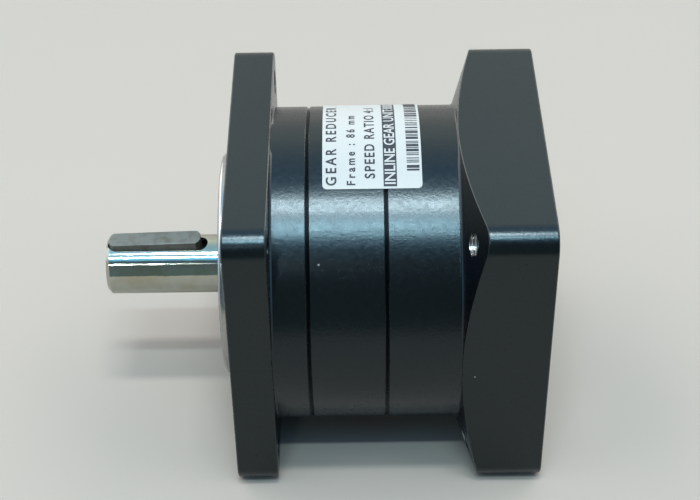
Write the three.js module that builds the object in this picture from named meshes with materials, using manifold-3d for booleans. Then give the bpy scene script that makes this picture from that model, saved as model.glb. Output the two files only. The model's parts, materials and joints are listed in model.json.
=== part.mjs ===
// Inline planetary gear reducer: 86 mm square frame, one stage, 4 turns of the motor for 1 turn out.
//
// Millimetres, +Z up. Both shafts turn about the X axis. The output shaft points to -X and the motor
// bolts on at +X. Stations along X are measured from the output flange's outer face, and the last
// group moves the whole assembly so that the origin is at the middle of its overall length.
import * as THREE from "three";
import { mergeVertices } from "three/addons/utils/BufferGeometryUtils.js";
import Module from "manifold-3d";

const wasm = await Module();
wasm.setup();

// ---------------------------------------------------------------- driving dimensions
const square = { side: 86, corner: 6, bevel: 0.5 }; // both flanges
const barrel = { radius: 42.5, bevel: 0.6 }; // round painted body, and the V-groove at each joint
const outputFlange = { thick: 11, boss: 30, bossHigh: 3, bossChamfer: 0.8, hole: 3.5, holeOffset: 35.36 };
const ring = { from: 20.5, to: 40.5 };
const motorFlange = { flareFrom: 59.5, flareSlope: 0.337, face: 82, hole: 3, holeOffset: 34.8 };
const motorPilot = { radius: 36.5, deep: 5 };
const couplingRoom = { from: 60, radius: 26 };
const spigot = { long: 3.2, recess: 3.5, radius: 33.4, bore: 30 };
const oRing = { centre: 1.6, radius: 32.72, section: 0.65, grooveHalf: 0.8, grooveFloor: 32 };

const shaft = { tip: -35, radius: 8, chamfer: 1, shoulder: 13 };
const sealSeat = { from: -2.6, taper: 0.4, radius: 10 };
// The key leans with its slot, and rides up a little towards its inner end.
const key = { from: -34, to: -9, width: 5, high: 5, endDepth: 1.6, lean: 5, tilt: 1.8 };
const keyway = { from: -34.6, to: -7.4, width: 5.1, floor: 4.5, past: 12 };
const carrier = { from: 18, face: 23.3, radius: 29, pillarIn: 13, pillarTo: 37.4, planetRoom: 12.3 };
const plate = { from: 37.5, to: 41.3, hub: 15, hubTo: 49, bore: 12 };

const gear = { module: 1, pressureAngle: (20 * Math.PI) / 180, backlash: 0.1, addendum: 1, dedendum: 1.25 };
const sunTeeth = 21;
const planetTeeth = 21;
const ringTeeth = 63;
const planetCount = 3;
const firstPlanet = 90; // degrees from +Y towards +Z
const planetFace = { from: 24.3, to: 36.5 };
const pin = { radius: 3, from: 18.6, to: 41 };
const bush = { radius: 4.5, from: 24.5, to: 36.3 };
const washer = { radius: 6, thick: 0.6, front: 23.5, rear: 36.7 };

const input = {
  neck: 9, sleeve: 11, seat: 12.5, shoulder: 14.5, hub: 12, end: 75.6, chamfer: 0.8, bore: 7, boreFrom: 44.5,
};
const collar = { from: 62.6, to: 74.4, radius: 22, slot: 2, hubSlot: 1.2, screwHigh: 16.6, screwSeat: 6 };
const clampX = (collar.from + collar.to) / 2;
const accessHole = { from: 18, radius: 6, plugInner: 37, plugOuter: 42.7, dimple: 2.5, dimpleDeep: 1.5 };

const m5 = { shank: 2.4, hole: 2.75, head: 4.25, headLong: 5, pocket: 4.8, socket: 2.3, socketDeep: 2.6 };
const tieScrew = { circle: 37.5, from: 0.5, pocketDeep: 5.6, to: 50, holeTo: 52 };
const clampScrewLong = 21;
const carrierScrew = {
  circle: 22, shank: 1.9, head: 3.8, from: 27, sink: 2.1, socket: 1.2, socketDeep: 1.2,
};

const seal = { from: -2.4, to: 4.4, radius: 17.5, wall: 1.5, web: 2 };
const frontBearing = { bore: 20, outer: 42, width: 12, ball: 6.35, pitch: 31, balls: 9, centre: 10.6 };
const rearBearing = { bore: 30, outer: 42, width: 7, ball: 3.2, pitch: 36, balls: 10, centre: 45.4 };
const inputBearing = { bore: 25, outer: 37, width: 7, ball: 3.2, pitch: 31, balls: 10, centre: 54.6 };
const shaftRing = { from: 49.8, thick: 1.1, groove: 11.8, radius: 14.6 };
const boreRing = { from: 58.3, thick: 1.1, groove: 19.6, inner: 16 };
const ringGap = 4;

const nameLabel = { from: 24.5, to: 49.8, towardsFront: 24, towardsBack: 57, inner: 42.62, outer: 42.87 };

const fit = 0.1; // between pieces that seat in each other
const run = 0.2; // between pieces that turn on each other
const clearOfCarrier = 0.5; // from the turning carrier to the housings' inner steps
const barrelSides = 44;
const boreSides = 24;
const smallSides = 12;
const past = 1; // how far a cutter runs past the face that it opens

// ---------------------------------------------------------------- solids
const radians = THREE.MathUtils.degToRad;
const axisX = new THREE.Vector3(1, 0, 0);
const axisY = new THREE.Vector3(0, 1, 0);
const axisZ = new THREE.Vector3(0, 0, 1);

// A solid for joining and cutting, from a closed three.js geometry.
function solid(geometry) {
  geometry.deleteAttribute("normal");
  geometry.deleteAttribute("uv");
  const merged = mergeVertices(geometry, 1e-4);
  const index = merged.index.array;
  const triangles = [];
  for (let i = 0; i < index.length; i += 3) {
    const [a, b, c] = index.slice(i, i + 3);
    if (a !== b && b !== c && c !== a) triangles.push(a, b, c);
  }
  return new wasm.Manifold(
    new wasm.Mesh({
      numProp: 3,
      vertProperties: new Float32Array(merged.attributes.position.array),
      triVerts: new Uint32Array(triangles),
    }),
  );
}

// A solid of revolution about the X axis, from its outline in [x, radius] pairs.
function turned(outline, sides = boreSides) {
  const points = outline.map(([x, radius]) => new THREE.Vector2(radius, x));
  if (THREE.ShapeUtils.area(points) < 0) points.reverse();
  if (points[0].x > 0 || points.at(-1).x > 0) points.push(points[0].clone());
  const geometry = new THREE.LatheGeometry(points, sides);
  geometry.applyMatrix4(new THREE.Matrix4().makeBasis(axisZ, axisX, axisY));
  return geometry;
}

function rod(from, to, radius, sides = smallSides) {
  return turned([[from, 0], [from, radius], [to, radius], [to, 0]], sides);
}

function tube(from, to, inner, outer, sides = boreSides) {
  return turned([[from, inner], [from, outer], [to, outer], [to, inner]], sides);
}

// An outline in the YZ plane, carried along X. A bevel stays inside the outline.
function extruded(shape, from, to, bevel = 0) {
  const geometry = new THREE.ExtrudeGeometry(shape, {
    depth: to - from - 2 * bevel,
    bevelEnabled: bevel > 0,
    bevelThickness: bevel,
    bevelSize: bevel,
    bevelOffset: -bevel,
    bevelSegments: 1,
    curveSegments: 5,
  });
  geometry.translate(0, 0, from + bevel);
  geometry.applyMatrix4(new THREE.Matrix4().makeBasis(axisY, axisZ, axisX));
  return geometry;
}

function block(x, y, z) {
  const geometry = new THREE.BoxGeometry(x[1] - x[0], y[1] - y[0], z[1] - z[0]);
  geometry.translate((x[0] + x[1]) / 2, (y[0] + y[1]) / 2, (z[0] + z[1]) / 2);
  return geometry;
}

// A copy of a geometry at a radius and an angle about the X axis.
function placed(geometry, radius, degrees) {
  const angle = radians(degrees);
  return geometry.clone().translate(0, radius * Math.cos(angle), radius * Math.sin(angle));
}

// A piece made along X, turned to lie along +Y on the clamp screw's line.
function acrossClamp(geometry) {
  return geometry.rotateZ(Math.PI / 2).translate(clampX, 0, collar.screwHigh);
}

function squareOutline() {
  const centre = square.side / 2 - square.corner;
  const shape = new THREE.Shape();
  cornerAngles.forEach((degrees, i) => {
    const from = (i * Math.PI) / 2;
    const x = centre * Math.SQRT2 * Math.cos(radians(degrees));
    const y = centre * Math.SQRT2 * Math.sin(radians(degrees));
    shape.absarc(x, y, square.corner, from, from + Math.PI / 2);
  });
  return shape;
}

function cornerHoles(offset, radius, from, to) {
  const circle = Math.hypot(offset, offset);
  return cornerAngles.map((degrees) => placed(rod(from, to, radius), circle, degrees));
}

function joined(first, ...others) {
  return others.reduce((whole, other) => whole.add(solid(other)), solid(first));
}

function cut(whole, tools) {
  return tools.reduce((rest, tool) => rest.subtract(solid(tool)), whole);
}

const cornerAngles = [45, 135, 225, 315];
const planetCircle = (gear.module * (sunTeeth + planetTeeth)) / 2;
const planetAngles = [...Array(planetCount).keys()].map((i) => firstPlanet + (360 / planetCount) * i);
const pillarAngles = planetAngles.map((degrees) => degrees + 180 / planetCount);

// ---------------------------------------------------------------- gear teeth
// An involute tooth is symmetric about its middle, and its half angle narrows with radius. The outline
// goes once round through the given radii, up and down each tooth, from a tooth at the start angle.
function toothedOutline(teeth, radii, thickness, start) {
  const pitchRadius = (gear.module * teeth) / 2;
  const baseRadius = pitchRadius * Math.cos(gear.pressureAngle);
  const involute = (angle) => Math.tan(angle) - angle;
  const halfAngle = (radius) => {
    const slope = Math.acos(baseRadius / Math.max(radius, baseRadius));
    return thickness / (2 * pitchRadius) + involute(gear.pressureAngle) - involute(slope);
  };
  const points = [];
  for (let tooth = 0; tooth < teeth; tooth += 1) {
    const middle = radians(start) + (tooth * 2 * Math.PI) / teeth;
    const flank = (side) => (radius) => {
      const angle = middle + side * halfAngle(radius);
      return new THREE.Vector2(radius * Math.cos(angle), radius * Math.sin(angle));
    };
    points.push(...radii.map(flank(-1)), ...[...radii].reverse().map(flank(1)));
  }
  return new THREE.Shape(points);
}

function externalTeeth(teeth, start) {
  const pitchRadius = (gear.module * teeth) / 2;
  const baseRadius = pitchRadius * Math.cos(gear.pressureAngle);
  const root = pitchRadius - gear.dedendum;
  const tip = pitchRadius + gear.addendum;
  const thickness = (Math.PI * gear.module) / 2 - gear.backlash;
  return toothedOutline(teeth, [root, (2 * baseRadius + tip) / 3, tip], thickness, start);
}

// The space that the ring's teeth leave is itself the outline of a gear.
function internalSpace() {
  const pitchRadius = (gear.module * ringTeeth) / 2;
  const inner = pitchRadius - gear.addendum;
  const outer = pitchRadius + gear.dedendum;
  const thickness = (Math.PI * gear.module) / 2 + 1.5 * gear.backlash; // its flanks are single chords
  return toothedOutline(ringTeeth, [inner, outer], thickness, firstPlanet);
}

// ---------------------------------------------------------------- housings
function spigotOutline(face, direction) {
  const at = (distance) => face + direction * distance;
  const low = oRing.centre - oRing.grooveHalf;
  const high = oRing.centre + oRing.grooveHalf;
  const root = -2; // the spigot's root is sunk into the housing that carries it
  return [
    [at(root), spigot.bore], [at(root), spigot.radius],
    [at(low), spigot.radius], [at(low), oRing.grooveFloor],
    [at(high), oRing.grooveFloor], [at(high), spigot.radius],
    [at(spigot.long), spigot.radius], [at(spigot.long), spigot.bore],
  ];
}

function outputHousing() {
  const { radius, bevel } = barrel;
  const flangePlate = extruded(squareOutline(), 0, outputFlange.thick, square.bevel);
  const inside = 5; // the barrel and the boss start inside the plate
  const barrelPart = turned([
    [inside, 0], [inside, radius], [ring.from - bevel, radius], [ring.from, radius - bevel], [ring.from, 0],
  ], barrelSides);
  const { boss, bossHigh, bossChamfer } = outputFlange;
  const bossPart = turned([
    [inside, 0], [-bossHigh, 0], [-bossHigh, boss - bossChamfer], [bossChamfer - bossHigh, boss],
    [inside, boss],
  ], barrelSides);
  const bearingFrom = frontBearing.centre - frontBearing.width / 2 - fit;
  const bearingTo = frontBearing.centre + frontBearing.width / 2 + fit;
  const seat = frontBearing.outer / 2 + fit;
  const bore = turned([
    [-bossHigh - past, 0], [-bossHigh - past, seal.radius + fit], [bearingFrom, seal.radius + fit],
    [bearingFrom, seat], [bearingTo + clearOfCarrier, seat], [bearingTo + clearOfCarrier, spigot.bore],
    [ring.from + past, spigot.bore], [ring.from + past, 0],
  ]);
  const pocket = rod(-past, tieScrew.pocketDeep, m5.pocket);
  const screwHole = rod(past, ring.from + past, m5.hole);
  const body = cut(joined(flangePlate, barrelPart, bossPart), [
    bore,
    ...cornerHoles(outputFlange.holeOffset, outputFlange.hole, -past, outputFlange.thick + past),
    ...cornerAngles.map((degrees) => placed(pocket, tieScrew.circle, degrees)),
    ...cornerAngles.map((degrees) => placed(screwHole, tieScrew.circle, degrees)),
  ]);
  return body.add(solid(turned(spigotOutline(ring.from, 1))));
}

function ringGear() {
  const { radius, bevel } = barrel;
  const body = solid(turned([
    [ring.from, 0], [ring.from, radius - bevel], [ring.from + bevel, radius],
    [ring.to - bevel, radius], [ring.to, radius - bevel], [ring.to, 0],
  ], barrelSides));
  const recess = spigot.radius + fit;
  const screwHole = rod(ring.from - past, ring.to + past, m5.hole);
  return cut(body, [
    extruded(internalSpace(), ring.from - past, ring.to + past),
    rod(ring.from - past, ring.from + spigot.recess, recess, boreSides),
    rod(ring.to - spigot.recess, ring.to + past, recess, boreSides),
    ...cornerAngles.map((degrees) => placed(screwHole, tieScrew.circle, degrees)),
  ]);
}

// One casting: a barrel, a cone that opens to the square, and the motor's face.
function inputFlange() {
  const { radius, bevel } = barrel;
  const { flareFrom, flareSlope, face } = motorFlange;
  const wide = square.side; // past the corners of the square
  const flareTo = flareFrom + flareSlope * (wide - radius);
  const outside = turned([
    [ring.to, 0], [ring.to, radius - bevel], [ring.to + bevel, radius], [flareFrom, radius],
    [flareTo, wide], [face + past, wide], [face + past, 0],
  ], barrelSides);
  const squareBar = extruded(squareOutline(), ring.from, face, square.bevel);
  const rearSeat = rearBearing.outer / 2 + fit;
  const rearFrom = plate.to + clearOfCarrier;
  const rearTo = rearBearing.centre + rearBearing.width / 2 + fit;
  const inputSeat = inputBearing.outer / 2 + fit;
  const inputFrom = inputBearing.centre - inputBearing.width / 2 - fit;
  const grooveTo = boreRing.from + boreRing.thick + fit;
  const pilotFloor = face - motorPilot.deep;
  const inside = turned([
    [ring.to - past, 0], [ring.to - past, spigot.bore], [rearFrom, spigot.bore],
    [rearFrom, rearSeat], [rearTo, rearSeat], [rearTo, boreRing.inner], [inputFrom, boreRing.inner],
    [inputFrom, inputSeat], [boreRing.from - fit, inputSeat], [boreRing.from - fit, boreRing.groove + fit],
    [grooveTo, boreRing.groove + fit], [grooveTo, inputSeat], [couplingRoom.from, inputSeat],
    [couplingRoom.from, couplingRoom.radius], [pilotFloor, couplingRoom.radius],
    [pilotFloor, motorPilot.radius], [face + past, motorPilot.radius], [face + past, 0],
  ]);
  const access = acrossClamp(rod(accessHole.from, square.side, accessHole.radius));
  const screwHole = rod(ring.to - past, tieScrew.holeTo, m5.hole);
  const body = cut(solid(outside).intersect(solid(squareBar)), [
    inside,
    access,
    ...cornerHoles(motorFlange.holeOffset, motorFlange.hole, flareFrom, face + past),
    ...cornerAngles.map((degrees) => placed(screwHole, tieScrew.circle, degrees)),
  ]);
  return body.add(solid(turned(spigotOutline(ring.to, -1))));
}

function oRingAt(face, direction) {
  const centre = face + direction * oRing.centre;
  const corners = 6;
  const outline = [...Array(corners).keys()].map((i) => {
    const angle = ((i + 0.5) * 2 * Math.PI) / corners;
    return [centre + oRing.section * Math.cos(angle), oRing.radius + oRing.section * Math.sin(angle)];
  });
  return solid(turned(outline));
}

// A lip seal: a stiff ring with a groove in its back that leaves the lip free.
function outputSeal() {
  const lip = sealSeat.radius + run;
  const { from, to, radius, wall, web } = seal;
  return solid(turned([
    [from, lip], [from, radius], [to, radius], [to, radius - wall], [from + web, radius - wall],
    [from + web, lip + wall], [to - web, lip],
  ]));
}

// A strip of film, curved over the top of the body.
function nameLabelSolid() {
  const { inner, outer, from, to } = nameLabel;
  const back = radians(90 - nameLabel.towardsBack);
  const front = radians(90 + nameLabel.towardsFront);
  const strip = new THREE.Shape();
  strip.absarc(0, 0, outer, back, front);
  strip.absarc(0, 0, inner, front, back, true);
  const settings = { depth: to - from, bevelEnabled: false, curveSegments: 16 };
  const geometry = new THREE.ExtrudeGeometry(strip, settings);
  geometry.translate(0, 0, from);
  geometry.applyMatrix4(new THREE.Matrix4().makeBasis(axisY, axisZ, axisX));
  return solid(geometry);
}

function accessPlug() {
  const { radius, plugInner, plugOuter, dimple, dimpleDeep } = accessHole;
  const leadIn = 1;
  const plug = turned([
    [plugInner, 0], [plugInner, radius - leadIn], [plugInner + leadIn, radius - fit],
    [plugOuter, radius - fit], [plugOuter, dimple], [plugOuter - dimpleDeep, dimple],
    [plugOuter - dimpleDeep, 0],
  ], smallSides);
  return solid(acrossClamp(plug));
}

// A socket-head screw from the face of its head, pointing to +X.
function socketScrew(long) {
  const { head, headLong, shank } = m5;
  const hexagon = rod(-past, m5.socketDeep, m5.socket, 6);
  const screw = turned([
    [0, 0], [0, head], [headLong, head], [headLong, shank], [long, shank], [long, 0],
  ], smallSides);
  return cut(solid(screw), [hexagon]);
}

// ---------------------------------------------------------------- ball bearings
// The rings' tracks are arcs about the ball's centre, a little larger than the ball.
function trackRing(bearing, side) {
  const { ball, pitch, width } = bearing;
  const track = 0.66 * ball;
  const shoulderDrop = 0.3 * ball;
  const shoulder = pitch / 2 + side * shoulderDrop;
  const seat = side > 0 ? bearing.outer / 2 : bearing.bore / 2 + fit;
  const reach = Math.acos(shoulderDrop / track);
  const steps = 2;
  const arc = [...Array(steps + 1).keys()].map((i) => {
    const angle = reach * (1 - (2 * i) / steps);
    return [track * Math.sin(angle), pitch / 2 + side * track * Math.cos(angle)];
  });
  return solid(turned([
    [-width / 2, seat], [width / 2, seat], [width / 2, shoulder], ...arc, [-width / 2, shoulder],
  ]));
}

// The balls and the cage that spaces them are one piece here.
function ballCage(bearing) {
  const { ball, pitch, balls } = bearing;
  const thick = 0.12 * ball;
  const half = 0.35 * ball;
  const ring = solid(tube(-half, half, pitch / 2 - thick, pitch / 2 + thick, balls * 2));
  return [...Array(balls).keys()].reduce((cage, i) => {
    const sphere = new THREE.SphereGeometry(ball / 2, 6, 4);
    return cage.add(solid(placed(sphere, pitch / 2, (360 / balls) * i)));
  }, ring);
}

// ---------------------------------------------------------------- output shaft, carrier and planets
// A bar along X with oval ends, standing up from a level.
function roundEnded(from, to, width, endDepth, low, high) {
  const half = width / 2;
  const shape = new THREE.Shape();
  shape.absellipse(to - endDepth, 0, endDepth, half, -Math.PI / 2, Math.PI / 2);
  shape.absellipse(from + endDepth, 0, endDepth, half, Math.PI / 2, (3 * Math.PI) / 2);
  const settings = { depth: high - low, bevelEnabled: false, curveSegments: 6 };
  const geometry = new THREE.ExtrudeGeometry(shape, settings);
  geometry.translate(0, 0, low);
  return geometry;
}

function outputShaft() {
  const { tip, radius, chamfer, shoulder } = shaft;
  const bearingTo = frontBearing.centre + frontBearing.width / 2 + fit;
  const bar = turned([
    [tip, 0], [tip, radius - chamfer], [tip + chamfer, radius],
    [sealSeat.from - sealSeat.taper, radius], [sealSeat.from + sealSeat.taper, sealSeat.radius],
    [bearingTo, sealSeat.radius], [bearingTo, shoulder],
    [carrier.from, shoulder], [carrier.from, carrier.radius],
    [carrier.pillarTo, carrier.radius], [carrier.pillarTo, 0],
  ]);
  const roomSides = 32;
  const room = rod(carrier.face, carrier.pillarTo + past, carrier.planetRoom, roomSides);
  const pinHole = rod(pin.from - fit, carrier.face + past, pin.radius + fit);
  const screwHole = rod(carrierScrew.from - past, carrier.pillarTo + past, carrierScrew.shank + fit);
  const { from, to, width, floor } = keyway;
  const slot = roundEnded(from, to, width, width / 2, floor, keyway.past).rotateX(radians(key.lean));
  return cut(solid(bar), [
    slot,
    rod(carrier.face, carrier.pillarTo + past, carrier.pillarIn, boreSides),
    ...planetAngles.map((degrees) => placed(room, planetCircle, degrees)),
    ...planetAngles.map((degrees) => placed(pinHole, planetCircle, degrees)),
    ...pillarAngles.map((degrees) => placed(screwHole, carrierScrew.circle, degrees)),
  ]);
}

// The key's outer end stands on the slot's floor, and its inner end is a little higher.
function shaftKey() {
  const { from, to, width, high, endDepth, lean, tilt } = key;
  const geometry = roundEnded(0, to - from, width - fit, endDepth, 0, high);
  geometry.rotateY(-radians(tilt)).translate(from, 0, keyway.floor + fit).rotateX(radians(lean));
  return solid(geometry);
}

function carrierPlate() {
  const shoulder = plate.hub + 1;
  const bearingFrom = rearBearing.centre - rearBearing.width / 2 - fit;
  const hub = turned([
    [plate.from, plate.bore], [plate.from, carrier.radius], [plate.to, carrier.radius],
    [plate.to, shoulder], [bearingFrom, shoulder], [bearingFrom, plate.hub], [plate.hubTo, plate.hub],
    [plate.hubTo, plate.bore],
  ]);
  const { sink, head, shank, circle } = carrierScrew;
  const screwHole = turned([
    [plate.from - past, 0], [plate.from - past, shank + fit], [plate.to - sink, shank + fit],
    [plate.to + fit, head + 2 * fit], [plate.to + past, head + 2 * fit], [plate.to + past, 0],
  ], smallSides);
  const pinHole = rod(plate.from - past, plate.to + past, pin.radius + fit);
  return cut(solid(hub), [
    ...planetAngles.map((degrees) => placed(pinHole, planetCircle, degrees)),
    ...pillarAngles.map((degrees) => placed(screwHole, circle, degrees)),
  ]);
}

function flatHeadScrew() {
  const { from, sink, head, shank, socket, socketDeep } = carrierScrew;
  const face = plate.to - fit;
  return solid(turned([
    [from, 0], [from, shank], [plate.to - sink, shank], [face, head], [face, socket],
    [face - socketDeep, socket], [face - socketDeep, 0],
  ], smallSides));
}

function planetGear() {
  const teeth = extruded(externalTeeth(planetTeeth, 0), planetFace.from, planetFace.to);
  return cut(solid(teeth), [rod(planetFace.from - past, planetFace.to + past, bush.radius + fit)]);
}

// ---------------------------------------------------------------- input shaft and clamp
function inputShaft() {
  const clear = 0.4; // to the carrier's hub and the clamp's room
  const drillPoint = 2;
  const seatFrom = plate.hubTo + clear;
  const seatTo = inputBearing.centre + inputBearing.width / 2 + fit;
  const shoulderTo = couplingRoom.from + clear;
  const grooveFrom = shaftRing.from - fit;
  const grooveTo = shaftRing.from + shaftRing.thick + fit;
  const sunEnd = ring.to - spigot.recess;
  const bar = turned([
    [sunEnd - past, 0], [sunEnd - past, input.neck], [input.boreFrom - 1, input.neck],
    [input.boreFrom, input.sleeve], [seatFrom, input.sleeve], [seatFrom, input.seat],
    [grooveFrom, input.seat], [grooveFrom, shaftRing.groove], [grooveTo, shaftRing.groove],
    [grooveTo, input.seat], [seatTo, input.seat], [seatTo, input.shoulder],
    [shoulderTo, input.shoulder], [shoulderTo, input.hub], [input.end, input.hub],
    [input.end, input.bore + input.chamfer], [input.end - input.chamfer, input.bore],
    [input.boreFrom + drillPoint, input.bore], [input.boreFrom, 0],
  ]);
  const sun = extruded(externalTeeth(sunTeeth, firstPlanet), ring.from + spigot.recess, sunEnd);
  const half = collar.hubSlot / 2;
  const split = block([couplingRoom.from + 1, input.end + past], [-half, half], [0, input.hub + past]);
  return cut(joined(bar, sun), [split]);
}

// A split ring that the clamp screw closes on the slotted hub.
function clampCollar() {
  const { from, to, radius, slot, screwSeat } = collar;
  const body = tube(from, to, input.hub + fit, radius);
  const split = block([from - past, to + past], [-slot / 2, slot / 2], [0, radius + past]);
  return cut(solid(body), [
    split,
    acrossClamp(rod(-radius, radius, m5.shank + fit)),
    acrossClamp(rod(screwSeat, radius, m5.head + 2 * fit)),
  ]);
}

function snapRing(ringPiece, inner, outer) {
  const { from, thick } = ringPiece;
  const gap = block([from - past, from + thick + past], [-ringGap / 2, ringGap / 2], [-outer - past, 0]);
  return cut(solid(tube(from, from + thick, inner, outer)), [gap]);
}

// ---------------------------------------------------------------- materials and scene graph
const finishes = {
  paint: { color: 0x23292c, roughness: 0.35, metalness: 0.1 },
  groundSteel: { color: 0xb9bdc0, roughness: 0.22, metalness: 1 },
  keySteel: { color: 0x7d8284, roughness: 0.38, metalness: 1 },
  gearSteel: { color: 0x8e9091, roughness: 0.35, metalness: 1 },
  bearingSteel: { color: 0xc6c9cb, roughness: 0.15, metalness: 1 },
  blackSteel: { color: 0x26272a, roughness: 0.45, metalness: 0.8 },
  springSteel: { color: 0x3b3c3e, roughness: 0.4, metalness: 0.9 },
  bronze: { color: 0xa87a3e, roughness: 0.35, metalness: 1 },
  rubber: { color: 0x161616, roughness: 0.75, metalness: 0 },
  film: { color: 0xf0f0ec, roughness: 0.45, metalness: 0 },
};

function piece(name, body, finish) {
  const { vertProperties, triVerts } = body.getMesh();
  const geometry = new THREE.BufferGeometry();
  geometry.setAttribute("position", new THREE.BufferAttribute(vertProperties, 3));
  geometry.setIndex(new THREE.BufferAttribute(triVerts, 1));
  geometry.computeVertexNormals();
  const mesh = new THREE.Mesh(geometry, new THREE.MeshStandardMaterial(finishes[finish]));
  mesh.name = name;
  return mesh;
}

function bearingPieces(name, bearing) {
  const group = new THREE.Group();
  group.position.x = bearing.centre;
  group.add(
    piece(`${name}_outer`, trackRing(bearing, 1), "bearingSteel"),
    piece(`${name}_inner`, trackRing(bearing, -1), "bearingSteel"),
    piece(`${name}_cage`, ballCage(bearing), "bearingSteel"),
  );
  return group;
}

// A planet and what it turns on, at its place on the carrier, with a tooth towards the ring.
function planetGroup(number, degrees) {
  const spoke = new THREE.Group();
  spoke.rotation.x = radians(degrees);
  const seat = new THREE.Group();
  seat.position.y = planetCircle;
  const { front, rear, thick } = washer;
  const sleeve = (from, to, outer) => solid(tube(from, to, pin.radius + run, outer, smallSides));
  seat.add(
    piece(`planet_gear_${number}`, planetGear(), "gearSteel"),
    piece(`planet_bush_${number}`, sleeve(bush.from, bush.to, bush.radius), "bronze"),
    piece(`planet_pin_${number}`, solid(rod(pin.from, pin.to, pin.radius)), "groundSteel"),
    piece(`front_washer_${number}`, sleeve(front, front + thick, washer.radius), "bronze"),
    piece(`rear_washer_${number}`, sleeve(rear, rear + thick, washer.radius), "bronze"),
  );
  spoke.add(seat);
  return spoke;
}

function screwAt(name, body, radius, degrees, from = 0) {
  const screw = piece(name, body, "blackSteel");
  screw.position.set(from, radius * Math.cos(radians(degrees)), radius * Math.sin(radians(degrees)));
  return screw;
}

function clampScrew() {
  const screw = piece("clamp_screw", socketScrew(clampScrewLong), "blackSteel");
  screw.position.set(clampX, collar.screwSeat + m5.headLong + fit, collar.screwHigh);
  screw.rotation.z = -Math.PI / 2; // its head faces +Y
  return screw;
}

const assembly = new THREE.Group();
assembly.position.x = -(shaft.tip + motorFlange.face) / 2;
assembly.add(
  piece("output_housing", outputHousing(), "paint"),
  piece("ring_gear", ringGear(), "paint"),
  piece("input_flange", inputFlange(), "paint"),
  piece("front_o_ring", oRingAt(ring.from, 1), "rubber"),
  piece("rear_o_ring", oRingAt(ring.to, -1), "rubber"),
  piece("output_seal", outputSeal(), "rubber"),
  piece("name_label", nameLabelSolid(), "film"),
  piece("access_plug", accessPlug(), "rubber"),
  piece("input_retaining_ring", snapRing(boreRing, boreRing.inner, boreRing.groove), "springSteel"),
  piece("output_shaft", outputShaft(), "groundSteel"),
  piece("shaft_key", shaftKey(), "keySteel"),
  piece("carrier_plate", carrierPlate(), "gearSteel"),
  piece("input_shaft", inputShaft(), "gearSteel"),
  piece("clamp_collar", clampCollar(), "blackSteel"),
  clampScrew(),
  piece("shaft_retaining_ring", snapRing(shaftRing, shaftRing.groove + fit, shaftRing.radius),
    "springSteel"),
  bearingPieces("front_bearing", frontBearing),
  bearingPieces("rear_bearing", rearBearing),
  bearingPieces("input_bearing", inputBearing),
  ...planetAngles.map((degrees, i) => planetGroup(i + 1, degrees)),
  ...pillarAngles.map((degrees, i) => screwAt(`carrier_screw_${i + 1}`, flatHeadScrew(),
    carrierScrew.circle, degrees)),
  ...cornerAngles.map((degrees, i) => screwAt(`tie_screw_${i + 1}`,
    socketScrew(tieScrew.to - tieScrew.from), tieScrew.circle, degrees, tieScrew.from)),
);

const reducer = new THREE.Group();
reducer.add(assembly);

export default reducer;
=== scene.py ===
"""Inline planetary gear reducer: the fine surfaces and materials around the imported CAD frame.

Metres, +Z up, both shafts on the X axis. Stations along the axis are given in millimetres from the
output flange's outer face, as on the part's drawing, and angles about it run from +Y towards +Z.
"""
import json
import math
import random

import bmesh
import bpy
import numpy as np
from mathutils import Matrix, Vector


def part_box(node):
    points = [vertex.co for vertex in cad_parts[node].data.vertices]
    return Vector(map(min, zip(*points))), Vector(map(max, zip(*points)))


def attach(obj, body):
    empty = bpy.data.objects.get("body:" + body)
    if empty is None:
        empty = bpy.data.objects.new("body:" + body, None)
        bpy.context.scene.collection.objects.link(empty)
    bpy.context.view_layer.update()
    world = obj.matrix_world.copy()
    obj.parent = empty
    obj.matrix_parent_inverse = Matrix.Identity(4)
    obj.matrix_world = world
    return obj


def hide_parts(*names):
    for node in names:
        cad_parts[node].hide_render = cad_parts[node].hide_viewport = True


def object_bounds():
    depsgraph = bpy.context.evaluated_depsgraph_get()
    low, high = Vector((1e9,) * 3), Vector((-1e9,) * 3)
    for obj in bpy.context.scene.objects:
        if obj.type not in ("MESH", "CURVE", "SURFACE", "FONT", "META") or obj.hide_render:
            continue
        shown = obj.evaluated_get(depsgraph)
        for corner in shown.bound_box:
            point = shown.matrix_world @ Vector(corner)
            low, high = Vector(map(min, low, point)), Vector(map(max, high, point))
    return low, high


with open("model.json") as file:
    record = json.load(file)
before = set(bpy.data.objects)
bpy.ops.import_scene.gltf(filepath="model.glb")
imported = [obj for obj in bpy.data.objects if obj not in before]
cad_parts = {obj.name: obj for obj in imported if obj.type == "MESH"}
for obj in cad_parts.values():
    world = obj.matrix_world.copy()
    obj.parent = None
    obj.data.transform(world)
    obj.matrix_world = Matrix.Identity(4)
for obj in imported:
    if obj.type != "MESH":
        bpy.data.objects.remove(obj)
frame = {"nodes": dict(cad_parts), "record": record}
cad_low, cad_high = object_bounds()

MM = 0.001
SHAFT_TIP = -35.0  # the frame's lowest X, counted from the output flange's outer face
FLANGE_FACE_X = cad_low[0] - SHAFT_TIP * MM
MOTOR_FACE = (cad_high[0] - FLANGE_FACE_X) / MM
HALF_SIDE = cad_high[1] / MM
CORNER = 6.0  # the arcs of the squares' corners
SHARP = math.radians(28)


def station(x):
    """The X in metres of a station in millimetres."""
    return FLANGE_FACE_X + x * MM


def drawing_x(x):
    """The station in millimetres of an X in metres."""
    return (x - FLANGE_FACE_X) / MM


def node_span(node):
    """A CAD node's first and last station."""
    low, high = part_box(node)
    return drawing_x(low[0]), drawing_x(high[0])


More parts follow.
